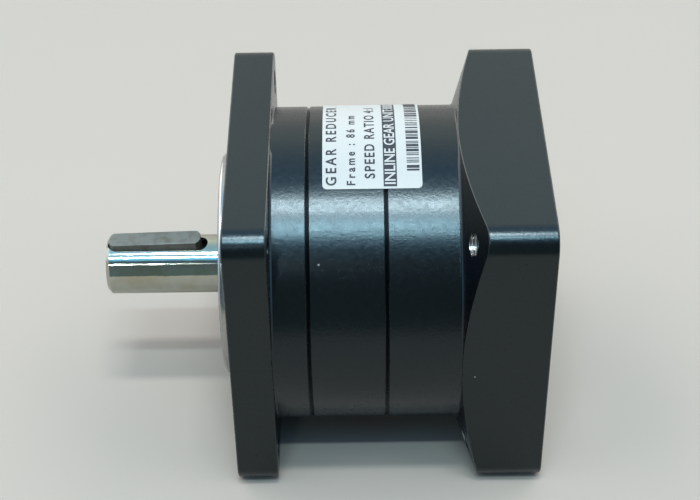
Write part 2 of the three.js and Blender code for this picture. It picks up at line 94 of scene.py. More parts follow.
RING_FROM, RING_TO = node_span("ring_gear")
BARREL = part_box("ring_gear")[1][1] / MM
BOSS_FACE = node_span("output_housing")[0]
LABEL_FROM, LABEL_TO = node_span("name_label")
HUB_END = node_span("input_shaft")[1]
COLLAR_FROM, COLLAR_TO = node_span("clamp_collar")


# ------------------------------------------------------------------ node helpers for materials
class Shader:
    """A material's node tree with short calls for the nodes that these materials use."""

    def __init__(self, name):
        self.material = bpy.data.materials.new(name)
        self.material.use_nodes = True
        self.tree = self.material.node_tree
        self.surface = self.tree.nodes["Principled BSDF"]
        self.place = self.tree.nodes.new("ShaderNodeTexCoord").outputs["Object"]

    def node(self, kind, **settings):
        made = self.tree.nodes.new(kind)
        for key, value in settings.items():
            setattr(made, key, value)
        return made

    def link(self, source, target):
        if isinstance(source, (int, float, tuple)):
            target.default_value = source
        else:
            self.tree.links.new(source, target)

    def set(self, **sockets):
        for name, value in sockets.items():
            self.link(value, self.surface.inputs[name.replace("_", " ")])

    def stretched(self, scale):
        mapping = self.node("ShaderNodeMapping")
        self.link(self.place, mapping.inputs["Vector"])
        mapping.inputs["Scale"].default_value = scale
        return mapping.outputs["Vector"]

    def noise(self, scale, detail=3.0, rough=0.5, vector=None):
        noise = self.node("ShaderNodeTexNoise")
        self.link(vector or self.place, noise.inputs["Vector"])
        noise.inputs["Scale"].default_value = scale
        noise.inputs["Detail"].default_value = detail
        noise.inputs["Roughness"].default_value = rough
        return noise.outputs["Fac"]

    def cells(self, scale, feature="F1", vector=None):
        voronoi = self.node("ShaderNodeTexVoronoi", feature=feature)
        self.link(vector or self.place, voronoi.inputs["Vector"])
        voronoi.inputs["Scale"].default_value = scale
        return voronoi.outputs["Distance"]

    def span(self, value, low, high, to_low=0.0, to_high=1.0):
        node = self.node("ShaderNodeMapRange")
        self.link(value, node.inputs["Value"])
        node.inputs["From Min"].default_value = low
        node.inputs["From Max"].default_value = high
        node.inputs["To Min"].default_value = to_low
        node.inputs["To Max"].default_value = to_high
        return node.outputs["Result"]

    def math(self, operation, first, second):
        node = self.node("ShaderNodeMath", operation=operation)
        self.link(first, node.inputs[0])
        self.link(second, node.inputs[1])
        return node.outputs["Value"]

    def mix(self, factor, first, second):
        node = self.node("ShaderNodeMix", data_type="RGBA")
        self.link(factor, node.inputs["Factor"])
        self.link(first, node.inputs["A"])
        self.link(second, node.inputs["B"])
        return node.outputs["Result"]

    def bump(self, height, distance, strength=1.0, after=None):
        node = self.node("ShaderNodeBump")
        self.link(height, node.inputs["Height"])
        node.inputs["Distance"].default_value = distance
        node.inputs["Strength"].default_value = strength
        if after is not None:
            self.link(after, node.inputs["Normal"])
        return node.outputs["Normal"]


def grey(value, warmth=0.0):
    """A linear grey, a little warm or cold."""
    return (value * (1 + warmth), value, value * (1 - warmth), 1.0)


# ------------------------------------------------------------------ materials
def black_paint():
    """Semi-gloss stoved paint: orange peel, fine grain, faint mottling, a few specks of dust."""
    s = Shader("black_paint")
    specks = s.math("MULTIPLY", s.span(s.cells(170), 0.05, 0.035), s.span(s.noise(60), 0.6, 0.68))
    mottling = s.mix(s.noise(90, 4), (0.0006, 0.0009, 0.0012, 1), (0.0012, 0.0016, 0.0020, 1))
    s.set(Base_Color=s.mix(specks, mottling, grey(0.3)))
    s.set(IOR=1.48, Specular_Tint=(0.75, 0.92, 1.0, 1))
    s.set(Roughness=s.span(s.noise(700, 2), 0.3, 0.7, 0.22, 0.28))
    peel = s.bump(s.noise(1300, 2), 0.000027, 1.0)
    s.set(Normal=s.bump(s.noise(4200, 1), 0.000015, 1.0, after=peel))
    return s.material


OIL_STAIN = (0.09, 0.13, 0.22)  # the shares of red, green and blue that a full stain takes


def bare_steel(name, shade, rough, lines, bump=0.000004, streak=0.0, waves=0.000005,
               tint=(1.01, 1, 0.99), stain=0.3):
    """Machined steel with fine rings round the X axis, which draw its highlights out along X, and
    clouds of a thin oil stain."""
    s = Shader(name)
    rings = s.noise(1.0, 2, 0.7, s.stretched((lines, lines / 60, lines / 60)))
    cloud = s.span(s.noise(190, 4), 0.35, 0.65)
    clean = tuple(shade * part for part in tint)
    stained = tuple(part * (1 - loss * stain) for part, loss in zip(clean, OIL_STAIN))
    tangent = s.node("ShaderNodeTangent", direction_type="RADIAL", axis="X")
    s.set(Metallic=1.0, Anisotropic=streak, Anisotropic_Rotation=0.25)
    s.set(Tangent=tangent.outputs[0])
    s.set(Base_Color=s.mix(cloud, (*clean, 1), (*stained, 1)))
    s.set(Roughness=s.span(rings, 0.3, 0.7, rough * 0.75, rough * 1.3))
    wavy = s.bump(s.noise(1.0, 3, 0.6, s.stretched((260, 800, 800))), waves)
    s.set(Normal=s.bump(rings, bump, 0.6, after=wavy))
    return s.material


def key_steel():
    """Cold-drawn bar: dull, with drawing lines along it and light stains."""
    s = Shader("key_steel")
    lines = s.noise(1.0, 3, 0.6, s.stretched((150, 4000, 4000)))
    stains = s.span(s.noise(420, 3), 0.45, 0.7)
    s.set(Metallic=1.0)
    s.set(Base_Color=s.mix(stains, (0.165, 0.175, 0.165, 1), (0.125, 0.125, 0.11, 1)))
    s.set(Roughness=s.span(lines, 0.3, 0.7, 0.34, 0.5))
    s.set(Normal=s.bump(lines, 0.000006, 0.6))
    return s.material


def dark_steel(name, shade, rough):
    """Blackened or phosphated steel with a fine even grain."""
    s = Shader(name)
    grain = s.noise(2600, 3)
    s.set(Metallic=0.85)
    s.set(Base_Color=s.mix(grain, grey(shade * 0.8), grey(shade * 1.25)))
    s.set(Roughness=s.span(grain, 0.3, 0.7, rough * 0.85, rough * 1.15))
    s.set(Normal=s.bump(grain, 0.00001, 0.4))
    return s.material


def bronze():
    s = Shader("bronze")
    cloud = s.noise(300, 4)
    s.set(Metallic=1.0)
    s.set(Base_Color=s.mix(cloud, (0.42, 0.26, 0.11, 1), (0.55, 0.36, 0.17, 1)))
    s.set(Roughness=s.span(cloud, 0.3, 0.7, 0.3, 0.42))
    s.set(Normal=s.bump(s.noise(2400), 0.000006, 0.5))
    return s.material


def black_rubber():
    s = Shader("black_rubber")
    grain = s.noise(3000, 2)
    s.set(Base_Color=s.mix(grain, grey(0.012), grey(0.022)))
    s.set(Roughness=s.span(grain, 0.3, 0.7, 0.5, 0.68))
    s.set(Normal=s.bump(grain, 0.00002, 0.4))
    return s.material


def label_film():
    """White printed film: slightly glossy, with the faint unevenness of paper under it."""
    s = Shader("label_film")
    s.set(Base_Color=s.mix(s.noise(200, 3), (0.335, 0.34, 0.335, 1), (0.355, 0.36, 0.355, 1)))
    s.set(Roughness=s.span(s.noise(900, 2), 0.3, 0.7, 0.38, 0.46))
    s.set(Normal=s.bump(s.noise(500, 2), 0.00001, 0.3))
    return s.material


def label_ink():
    """Thermal print: charcoal with a slightly broken edge of dots."""
    s = Shader("label_ink")
    dots = s.noise(6000, 1)
    s.set(Base_Color=s.mix(dots, (0.012, 0.014, 0.02, 1), (0.035, 0.038, 0.048, 1)), IOR=1.3)
    s.set(Roughness=s.span(dots, 0.3, 0.7, 0.4, 0.5))
    return s.material


def floor_finish():
    s = Shader("floor_finish")
    s.set(Base_Color=s.mix(s.noise(14, 3), (0.312, 0.276, 0.245, 1), (0.320, 0.283, 0.252, 1)))
    s.set(Roughness=0.7, IOR=1.2)
    return s.material


PAINT = black_paint()
GROUND = bare_steel("ground_steel", 0.45, 0.09, 9000, streak=0.6, waves=0.00002, tint=(0.96, 1.0, 0.92),
                    stain=1.4)
MACHINED = bare_steel("machined_face", 0.38, 0.24, 6000)
GEAR_STEEL = bare_steel("gear_steel", 0.42, 0.28, 5000)
BEARING_STEEL = bare_steel("bearing_steel", 0.68, 0.12, 12000, 0.000002)
KEY_STEEL = key_steel()
BLACK_STEEL = dark_steel("black_steel", 0.055, 0.42)
SPRING_STEEL = dark_steel("spring_steel", 0.12, 0.38)
BRONZE = bronze()
RUBBER = black_rubber()
FILM = label_film()
INK = label_ink()

SLOT_FINISH = {
    "body_paint": PAINT, "ground_steel": GROUND, "key_steel": KEY_STEEL, "gear_steel": GEAR_STEEL,
    "bearing_steel": BEARING_STEEL, "black_steel": BLACK_STEEL, "spring_steel": SPRING_STEEL,
    "bronze": BRONZE, "rubber": RUBBER, "label_film": FILM,
}
NODE_SLOT = {part["node"]: part["material_slot"] for part in frame["record"]["subparts"]}


# ------------------------------------------------------------------ mesh helpers
def new_piece(name, vertices, faces, materials):
    """A mesh object from vertices in metres, with its faces turned outwards."""
    mesh = bpy.data.meshes.new(name)
    mesh.from_pydata([tuple(v) for v in vertices], [], faces)
    for material in materials:
        mesh.materials.append(material)
    piece = bpy.data.objects.new(name, mesh)
    bpy.context.scene.collection.objects.link(piece)
    turn_faces_out(mesh)
    return piece


def turn_faces_out(mesh):
    work = bmesh.new()
    work.from_mesh(mesh)
    bmesh.ops.recalc_face_normals(work, faces=work.faces)
    work.to_mesh(mesh)
    work.free()


def smooth(piece):
    """Smooth shading between sharp edges, with the large faces kept flat beside their bevels."""
    piece.data.shade_smooth()
    piece.data.set_sharp_from_angle(angle=SHARP)
    weigh = piece.modifiers.new("weighted_normals", "WEIGHTED_NORMAL")
    weigh.keep_sharp = True


def turns(count):
    return np.linspace(0, 2 * math.pi, count, endpoint=False)


def lofted(name, stations, angles, materials, slots=None, ring=True):
    """Rings about the X axis, joined in order. A station is (x, radius), each one number or one for
    each angle. ring joins the last to the first; otherwise both ends are capped. slots gives the
    material of the band that starts at each station."""
    count = len(angles)
    vertices = []
    for x, radius in stations:
        y, z = radius * np.cos(angles) * MM, radius * np.sin(angles) * MM
        vertices.extend(zip(station(x) * np.ones(count), y, z))
    last = len(stations) if ring else len(stations) - 1
    faces = []
    for band in range(last):
        low = band * count
        high = ((band + 1) % len(stations)) * count
        for i in range(count):
            after = (i + 1) % count
            faces.append((low + i, low + after, high + after, high + i))
    if not ring:
        faces.append(tuple(range(count)))
        faces.append(tuple(range(last * count, (last + 1) * count)))
    piece = new_piece(name, vertices, faces, materials)
    if slots:
        for face in piece.data.polygons:
            face.material_index = slots[min(face.index // count, len(slots) - 1)]
    return piece


def placed(piece, y=0.0, z=0.0, turn=0.0):
    """Bakes a turn about the X axis and then a shift, in millimetres, into the mesh."""
    cosine, sine = math.cos(turn), math.sin(turn)
    for vertex in piece.data.vertices:
        old_y, old_z = vertex.co.y, vertex.co.z
        vertex.co.y = old_y * cosine - old_z * sine + y * MM
        vertex.co.z = old_y * sine + old_z * cosine + z * MM
    return piece


def joined(name, pieces):
    """One object from several, keeping each face's material."""
    work = bmesh.new()
    materials = []
    for piece in pieces:
        first = len(work.faces)
        work.from_mesh(piece.data)
        work.faces.ensure_lookup_table()
        moved = []
        for material in piece.data.materials:
            if material not in materials:
                materials.append(material)
            moved.append(materials.index(material))
        for face in work.faces[first:]:
            face.material_index = moved[face.material_index]
        bpy.data.objects.remove(piece)
    mesh = bpy.data.meshes.new(name)
    work.to_mesh(mesh)
    work.free()
    for material in materials:
        mesh.materials.append(material)
    whole = bpy.data.objects.new(name, mesh)
    bpy.context.scene.collection.objects.link(whole)
    return whole


def cut(piece, tool):
    """The exact difference of two closed pieces. The tool's faces bring their own material."""
    change = piece.modifiers.new("cut", "BOOLEAN")
    change.operation = "DIFFERENCE"
    change.solver = "EXACT"
    change.material_mode = "TRANSFER"
    change.object = tool
    evaluated = piece.evaluated_get(bpy.context.evaluated_depsgraph_get())
    mesh = bpy.data.meshes.new_from_object(evaluated)
    piece.modifiers.clear()
    old = piece.data
    piece.data = mesh
    bpy.data.meshes.remove(old)
    bpy.data.objects.remove(tool)
    return piece


def rounded(x, radius, size, from_angle, to_angle, steps=5):
    """Stations of a small arc of an outline about (x, radius), with angles in degrees from +X."""
    turn = np.radians(np.linspace(from_angle, to_angle, steps))
    return [(x + size * math.cos(a), radius + size * math.sin(a)) for a in turn]


def finished(piece, body, slot, *replaced):
    """Shades a new piece, ties it to its body and hides the nodes it stands for. The slot argument is not
    used.
    """
    smooth(piece)
    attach(piece, body)
    if replaced:
        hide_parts(*replaced)
    return piece


# ------------------------------------------------------------------ square flanges
CORNER_CENTRE = HALF_SIDE - CORNER


def square_angles(flat_steps=44, corner_steps=26):
    """Angles that sample a rounded square evenly on its flats and finely round its corners."""
    edge = math.atan2(CORNER_CENTRE, HALF_SIDE)
    flat = np.linspace(-edge, edge, flat_steps, endpoint=False)
    corner = np.linspace(edge, math.pi / 2 - edge, corner_steps, endpoint=False)
    side = np.concatenate([flat, corner])
    return np.concatenate([side + quarter * math.pi / 2 for quarter in range(4)])


SQUARE_ANGLES = square_angles()


def square(inset):
    """The radius of the rounded square, moved in by an inset, at each of the square's angles."""
    larger = np.maximum(abs(np.cos(SQUARE_ANGLES)), abs(np.sin(SQUARE_ANGLES)))
    smaller = np.minimum(abs(np.cos(SQUARE_ANGLES)), abs(np.sin(SQUARE_ANGLES)))
    flat = (HALF_SIDE - inset) / larger
    reach = (CORNER - inset) ** 2 - (CORNER_CENTRE * (larger - smaller)) ** 2
    arc = CORNER_CENTRE * (larger + smaller) + np.sqrt(np.maximum(reach, 0))
    return np.where(smaller / larger > CORNER_CENTRE / (HALF_SIDE - inset), arc, flat)


PLATE_EDGE = 0.6  # the rounding of the square plates' edges


def square_edge(x, direction, least=0.0):
    """Stations of a rounded edge of a square plate, from its side to its face at x. direction is
    the way that the face looks along X."""
    stations = []
    for a in np.linspace(0, math.pi / 2, 4):
        radius = np.maximum(square(PLATE_EDGE * (1 - math.cos(a))), least)
        stations.append((x - direction * PLATE_EDGE * (1 - math.sin(a)), radius))
    return stations


# ------------------------------------------------------------------ housings
GROOVE = 0.6  # the chamfer on each side of a joint line
FLANGE_THICK = 11.0
BOSS_RADIUS = 30.0
TIE_CIRCLE = 37.5
TIE_HOLE = 2.75
TIE_HEAD = 4.8  # the counterbore for a tie screw's head
CORNER_TURNS = [math.radians(a) for a in (45, 135, 225, 315)]
MOUNT_HOLE = 3.5
MOUNT_OFFSET = 35.36  # each way from the axis, on a 100 mm circle
TAPPED_HOLE = 3.0
TAPPED_OFFSET = 34.8
SEAL_SEAT = 17.6
BEARING_SEAT = 21.1
GEAR_ROOM = 30.0
SPIGOT = 33.4  # where each housing reaches into the ring gear
SPIGOT_CHAMFER = 0.5
CLOSED = 0.01  # the radius at which the end of a turned solid is capped


def corner_places(offset):
    return [(offset * y, offset * z) for y in (1, -1) for z in (1, -1)]


def circle_places(radius, turns_about):
    return [(radius * math.cos(a), radius * math.sin(a)) for a in turns_about]


def drill(first, last, radius, material, sides=40, countersink=0.0):
    """A drill's shape, with a countersink at its first end."""
    stations = [(first - 1, radius + countersink), (first, radius + countersink),
                (first + countersink, radius), (last, radius)]
    return lofted("drill", stations, turns(sides), [material], ring=False)


def tie_holes(first, last):
    """The clearance holes of the four tie screws between two stations."""
    return [placed(drill(first, last, TIE_HOLE, MACHINED, 24), y, z)
            for y, z in circle_places(TIE_CIRCLE, CORNER_TURNS)]


def tap(first, last, radius, pitch=0.8, depth=0.25):
    """A tapped hole's shape: the thread as rings."""
    stations = []
    for step in range(int((last - first) / pitch)):
        x = first + step * pitch
        stations += [(x, radius), (x + 0.15 * pitch, radius), (x + 0.5 * pitch, radius - depth),
                     (x + 0.65 * pitch, radius - depth)]
    stations.append((last, radius))
    return lofted("tap", stations, turns(32), [MACHINED], ring=False)


def output_housing():
    """Square flange, machined pilot boss and the first stretch of the painted barrel."""
    front = [(BOSS_FACE, 18.2)]
    boss = rounded(BOSS_FACE + 0.9, BOSS_RADIUS - 0.9, 0.9, 180, 90)
    root = [(-0.25, BOSS_RADIUS), (-0.1, BOSS_RADIUS - 0.25), (0.25, BOSS_RADIUS - 0.1),
            (0.25, BOSS_RADIUS + 0.3), (0.0, BOSS_RADIUS + 0.45)]
    plate = square_edge(0.0, -1)[::-1] + square_edge(FLANGE_THICK, 1, least=BARREL)
    step = np.minimum(BARREL + 0.7, np.maximum(square(PLATE_EDGE), BARREL))
    barrel = [(FLANGE_THICK, step), (FLANGE_THICK + 0.15, np.minimum(step, BARREL + 0.3)),
              (FLANGE_THICK + 0.6, BARREL), (RING_FROM - GROOVE, BARREL), (RING_FROM, BARREL - GROOVE)]
    inside = [(RING_FROM, SPIGOT), (23.2, SPIGOT), (23.7, SPIGOT - SPIGOT_CHAMFER), (23.7, GEAR_ROOM),
              (17.2, GEAR_ROOM), (17.2, BEARING_SEAT), (4.5, BEARING_SEAT), (4.5, SEAL_SEAT),
              (BOSS_FACE + 0.6, SEAL_SEAT)]
    stations = front + boss + root + plate + barrel + inside
    bare = len(front + boss + root) - 1
    painted = len(plate + barrel) + 1
    slots = [1] * bare + [0] * painted + [1] * len(inside)
    body = lofted("output_housing_fine", stations, SQUARE_ANGLES, [PAINT, MACHINED], slots)
    tools = [placed(drill(0.0, 14.0, MOUNT_HOLE, PAINT, countersink=0.3), y, z)
             for y, z in corner_places(MOUNT_OFFSET)]
    tools += [placed(drill(0.0, 5.6, TIE_HEAD, PAINT, countersink=0.25), y, z)
              for y, z in circle_places(TIE_CIRCLE, CORNER_TURNS)]
    tools += tie_holes(5.0, 24.0)
    return finished(cut(body, joined("tools", tools)), "housing", "body_paint", "output_housing")


FLARE_FROM = 59.5
FLARE_SLOPE = 0.337  # along X for each millimetre outwards
PILOT_RADIUS = 36.5
PILOT_FLOOR = MOTOR_FACE - 5
ROOM_FLOOR = 60.0
ROOM_RADIUS = 26.0
INPUT_SEAT = 18.6  # the input bearing's bore
RETAINER_GROOVE = 19.7


def bent(start, corner, end, steps=6):
    """Stations of a smooth bend that leaves start and reaches end along the lines to its corner."""
    points = []
    for t in np.linspace(0, 1, steps):
        shares = ((1 - t) ** 2, 2 * t * (1 - t), t**2)
        points.append(tuple(sum(w * p[i] for w, p in zip(shares, (start, corner, end))) for i in range(2)))
    return points


def flare(root=0.9, edge=0.35):
    """The cone from the barrel to the square's sides, with a hollow root and a rounded edge."""
    side = square(0)
    lift = side - BARREL
    edge_x = FLARE_FROM + FLARE_SLOPE * lift
    long = lift * math.hypot(1, FLARE_SLOPE)
    slant_x, slant_r = FLARE_SLOPE / math.hypot(1, FLARE_SLOPE), 1 / math.hypot(1, FLARE_SLOPE)
    hollow = np.minimum(root, 0.45 * long)
    round_off = np.minimum(edge, 0.45 * long)
    low = bent((FLARE_FROM - hollow, BARREL), (FLARE_FROM, BARREL),
               (FLARE_FROM + hollow * slant_x, BARREL + hollow * slant_r))
    high = bent((edge_x - round_off * slant_x, side - round_off * slant_r), (edge_x, side),
                (edge_x + round_off, side))
    return low + high


def input_flange():
    """Barrel, a cone that opens to the square, the motor's face, pilot recess and clamp room."""
    barrel = [(RING_TO, BARREL - GROOVE), (RING_TO + GROOVE, BARREL)]
    face = square_edge(MOTOR_FACE, 1)
    recess = [(MOTOR_FACE, PILOT_RADIUS + 0.5), (MOTOR_FACE - 0.5, PILOT_RADIUS),
              (PILOT_FLOOR, PILOT_RADIUS), (PILOT_FLOOR, ROOM_RADIUS + 0.5),
              (PILOT_FLOOR - 0.5, ROOM_RADIUS), (ROOM_FLOOR, ROOM_RADIUS)]
    bores = [(ROOM_FLOOR, INPUT_SEAT), (59.5, INPUT_SEAT), (59.5, RETAINER_GROOVE),
             (58.2, RETAINER_GROOVE), (58.2, INPUT_SEAT), (51.0, INPUT_SEAT), (51.0, 16.0), (49.0, 16.0),
             (49.0, BEARING_SEAT), (41.8, BEARING_SEAT), (41.8, GEAR_ROOM)]
    spigot = [(37.3, GEAR_ROOM), (37.3, SPIGOT - SPIGOT_CHAMFER), (37.8, SPIGOT), (RING_TO, SPIGOT)]
    painted = barrel + flare() + face
    stations = painted + recess + bores + spigot
    slots = [0] * (len(painted) - 1) + [1] * (len(stations) - len(painted) + 1)
    body = lofted("input_flange_fine", stations, SQUARE_ANGLES, [PAINT, MACHINED], slots)
    tools = [placed(tap(FLARE_FROM + 1, MOTOR_FACE + 2, TAPPED_HOLE), y, z)
             for y, z in corner_places(TAPPED_OFFSET)]
    tools += tie_holes(RING_TO - 1, 52.0)
    tools.append(across(drill(-HALF_SIDE, -18.0, 6.0, MACHINED, 48, 0.4)))
    return finished(cut(body, joined("tools", tools)), "housing", "body_paint", "input_flange")


SCREW_X = (COLLAR_FROM + COLLAR_TO) / 2
SCREW_HIGH = 16.6


def across(piece):
    """Turns a piece made along X so that it points along -Y, on the clamp screw's line. Its station
    0 lands on the X axis's plane, and its negative stations on the +Y side."""
    for vertex in piece.data.vertices:
        along, side, up = drawing_x(vertex.co.x), vertex.co.y, vertex.co.z
        vertex.co = Vector((station(SCREW_X) + side, -along * MM, up + SCREW_HIGH * MM))
    turn_faces_out(piece.data)
    return piece


# ------------------------------------------------------------------ gear teeth
MODULE = 1.0
RING_TEETH = 63
SUN_TEETH = 21
PRESSURE = math.radians(20)
FIRST_PLANET = math.pi / 2
PLANET_TURNS = [FIRST_PLANET + i * 2 * math.pi / 3 for i in range(3)]
PLANET_CIRCLE = 21.0


def involute(angle):
    return math.tan(angle) - angle


def tooth_line(teeth, radii, thickness, start):
    """Angles and radii once round a gear, up one flank of each tooth and down the other."""
    pitch = MODULE * teeth / 2
    base = pitch * math.cos(PRESSURE)

    def half_angle(radius):
        slope = math.acos(min(1.0, base / max(radius, base)))
        return thickness / (2 * pitch) + involute(PRESSURE) - involute(slope)

    rise = [(-half_angle(r), r) for r in radii]
    fall = [(half_angle(r), r) for r in reversed(radii)]
    line = [(start + 2 * math.pi * tooth / teeth + a, r) for tooth in range(teeth) for a, r in rise + fall]
    return np.array([a for a, _ in line]), np.array([r for _, r in line])


def ring_gear():
    """Painted outside, with a full ring of teeth inside."""
    pitch = MODULE * RING_TEETH / 2
    radii = list(np.linspace(pitch - 1, pitch + 1.25, 5))
    angles, teeth = tooth_line(RING_TEETH, radii, math.pi / 2 + 0.15, FIRST_PLANET)
    recess = SPIGOT + 0.1
    deep = 3.5
    stations = [
        (RING_FROM, BARREL - GROOVE), (RING_FROM + GROOVE, BARREL), (RING_TO - GROOVE, BARREL),
        (RING_TO, BARREL - GROOVE), (RING_TO, recess), (RING_TO - deep, recess), (RING_TO - deep, teeth),
        (RING_FROM + deep, teeth), (RING_FROM + deep, recess), (RING_FROM, recess),
    ]
    painted_bands = 3
    slots = [0] * painted_bands + [1] * (len(stations) - painted_bands)
    body = lofted("ring_gear_fine", stations, angles, [PAINT, GEAR_STEEL], slots)
    tools = tie_holes(RING_FROM - 1, RING_TO + 1)
    return finished(cut(body, joined("tools", tools)), "housing", "body_paint", "ring_gear")


# ------------------------------------------------------------------ output shaft and key
SHAFT_RADIUS = 8.0
SEAT_RADIUS = 10.0
CARRIER_FLOOR = 23.3
CARRIER_END = 39.0  # past the carrier's open face
SUN_ROOM = 13.0
PLANET_ROOM = 12.3
KEYWAY_FROM, KEYWAY_TO = -34.6, -7.4
KEYWAY_FLOOR = 4.5
KEY_FROM = -34.0
KEY_LONG = 25.0
KEY_WIDTH = 5.0
KEY_HIGH = 5.0
KEY_END = 1.6
KEY_LEAN = math.radians(5)
KEY_TILT = math.radians(1.8)


def round_ended(name, long, width, end_depth, low, high, material, bevel=0.0):
    """A bar along X from station 0, with oval ends, standing up along +Z, its top edge bevelled."""
    outline = []
    for centre, from_angle in ((long - end_depth, -90), (end_depth, 90)):
        for step in range(17):
            a = math.radians(from_angle + step * 180 / 16)
            outline.append((centre, a))
    levels = [(low, 0.0), (high - bevel, 0.0), (high - bevel * 0.3, bevel * 0.3), (high, bevel)]
    vertices = []
    for level, inset in levels:
        vertices += [(station(centre + (end_depth - inset) * math.cos(a)),
                      (width / 2 - inset) * math.sin(a) * MM, level * MM) for centre, a in outline]
    count = len(outline)
    top = (len(levels) - 1) * count
    faces = [tuple(range(count)), tuple(range(top, top + count))]
    for ring in range(0, top, count):
        for i in range(count):
            after = (i + 1) % count
            faces.append((ring + i, ring + after, ring + count + after, ring + count + i))
    return new_piece(name, vertices, faces, [material])


def output_shaft():
    """Keyed shaft, bearing seat and the planet carrier's disc and pillars in one piece."""
    chamfer = 1.0
    shaft = [(SHAFT_TIP, CLOSED), (SHAFT_TIP, SHAFT_RADIUS - chamfer), (SHAFT_TIP + chamfer, SHAFT_RADIUS),
             (-3.0, SHAFT_RADIUS), (-2.6, 8.4), (-2.2, 9.8), (-1.9, SEAT_RADIUS)]
    carrier = [(16.7, SEAT_RADIUS), (16.7, 13.0), (18.0, 13.0), (18.0, 28.6), (18.4, 29.0), (37.0, 29.0),
               (37.4, 28.6), (37.4, CLOSED)]
    slots = [0] * len(shaft) + [1] * len(carrier)
    body = lofted("output_shaft_fine", shaft + carrier, turns(96), [GROUND, GEAR_STEEL], slots, ring=False)
    keyway = round_ended("keyway", KEYWAY_TO - KEYWAY_FROM, KEY_WIDTH + 0.1, KEY_WIDTH / 2, KEYWAY_FLOOR,
                         12, GROUND)
    tools = [placed(slid(keyway, KEYWAY_FROM), turn=KEY_LEAN)]
    tools.append(drill(CARRIER_FLOOR, CARRIER_END, SUN_ROOM, GEAR_STEEL, 64))
    tools += [placed(drill(CARRIER_FLOOR, CARRIER_END, PLANET_ROOM, GEAR_STEEL, 64), y, z)
              for y, z in circle_places(PLANET_CIRCLE, PLANET_TURNS)]
    for tool in tools:
        cut(body, tool)
    return finished(body, "output", "ground_steel", "output_shaft")


def slid(piece, x, rise=0.0):
    """Bakes a shift along X, and a rise per millimetre along X, into the mesh."""
    for vertex in piece.data.vertices:
        along = drawing_x(vertex.co.x)
        up = vertex.co.z / MM
        tilt = math.atan(rise)
        vertex.co.x = station(x + along * math.cos(tilt) - up * math.sin(tilt))
        vertex.co.z = (along * math.sin(tilt) + up * math.cos(tilt)) * MM
    return piece


def shaft_key():
    """The key's outer end stands on the keyway's floor, and its inner end is a little higher."""
    key = round_ended("shaft_key_fine", KEY_LONG, KEY_WIDTH - 0.1, KEY_END, 0.0, KEY_HIGH, KEY_STEEL, 0.25)
    slid(key, KEY_FROM, math.tan(KEY_TILT))
    placed(key, z=KEYWAY_FLOOR + 0.1)
    return finished(placed(key, turn=KEY_LEAN), "output", "key_steel", "shaft_key")


# ------------------------------------------------------------------ seal, screws, plug and clamp
def output_seal():
    """Rubber-covered lip seal: outer band, recessed web with ribs of rubber, dust lip."""
    web = [(-2.3, 12.4), (-2.4, 12.8), (-2.4, 14.0), (-1.2, 14.4), (-1.2, 16.0)]
    band = [(-2.3, 16.4), (-2.4, 17.0), (-2.1, 17.45), (4.4, 17.45), (4.4, 16.0), (-0.2, 16.0), (-0.2, 13.0)]
    lip = [(3.2, 12.0), (3.4, 11.0), (2.0, 10.15), (0.6, 11.0), (-0.6, 11.2), (-1.6, 10.2), (-2.3, 10.6)]
    seal = lofted("output_seal_fine", web + band + lip, turns(96), [RUBBER])
    return finished(seal, "housing", "rubber", "output_seal")


def socket_screw(name, head_at, shank_to, body_name, node, move):
    """A socket-head cap screw made along +X from the face of its head."""
    head, high, socket = 4.25, 5.0, 2.3
    crest, root, pitch = 2.4, 2.05, 0.8
    stations = [(head_at, CLOSED), (head_at, head - 0.5),
                *rounded(head_at + 0.5, head - 0.5, 0.5, 180, 90, 4),
                (head_at + high - 0.2, head), (head_at + high, head - 0.2), (head_at + high, 2.5)]
    x = head_at + high + 0.6
    while x < shank_to - 1.2:
        stations += [(x, crest), (x + pitch / 2, root)]
        x += pitch
    stations += [(shank_to - 0.6, 2.3), (shank_to, 1.8), (shank_to, CLOSED)]
    body = lofted(name, stations, turns(48), [BLACK_STEEL], ring=False)
    hollow = [(head_at - 1, socket + 0.3), (head_at, socket + 0.3), (head_at + 0.3, socket),
              (head_at + 2.6, socket), (head_at + 3.2, 0.4)]
    hexagon = lofted("hexagon", hollow, turns(6), [BLACK_STEEL], ring=False)
    cut(body, hexagon)
    return finished(move(body), body_name, "black_steel", node)


def tie_screws():
    for number, (y, z) in enumerate(circle_places(TIE_CIRCLE, CORNER_TURNS), start=1):
        socket_screw(f"tie_screw_fine_{number}", 0.5, 49.8, "housing", f"tie_screw_{number}",
                     lambda screw, y=y, z=z: placed(screw, y, z))


def clamp_screw():
    head_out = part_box("clamp_screw")[1][1] / MM
    socket_screw("clamp_screw_fine", -head_out + 0.05, -head_out + 20.8, "input", "clamp_screw", across)


def access_plug():
    """Push-in rubber plug, just below the flange's side face."""
    top = -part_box("access_plug")[1][1] / MM
    face = [(top + 0.2, CLOSED), (top + 0.2, 2.2), (top, 2.6), (top, 5.3), (top + 0.3, 5.75)]
    ribs = [(top + 0.7, 5.85), (top + 1.8, 5.85), (top + 2.2, 5.5), (top + 2.8, 5.5), (top + 3.2, 5.85)]
    foot = [(top + 4.4, 5.7), (top + 5.4, 4.9), (top + 5.4, CLOSED)]
    plug = lofted("access_plug_fine", face + ribs + foot, turns(64), [RUBBER], ring=False)
    return finished(across(plug), "housing", "rubber", "access_plug")


def box_tool(x, y, z, material):
    """A box for cutting, from its low and high values in millimetres."""
    corners = [(station(a), b * MM, c * MM) for a in x for b in y for c in z]
    faces = [(0, 1, 3, 2), (4, 6, 7, 5), (0, 4, 5, 1), (2, 3, 7, 6), (0, 2, 6, 4), (1, 5, 7, 3)]
    return new_piece("box_tool", corners, faces, [material])


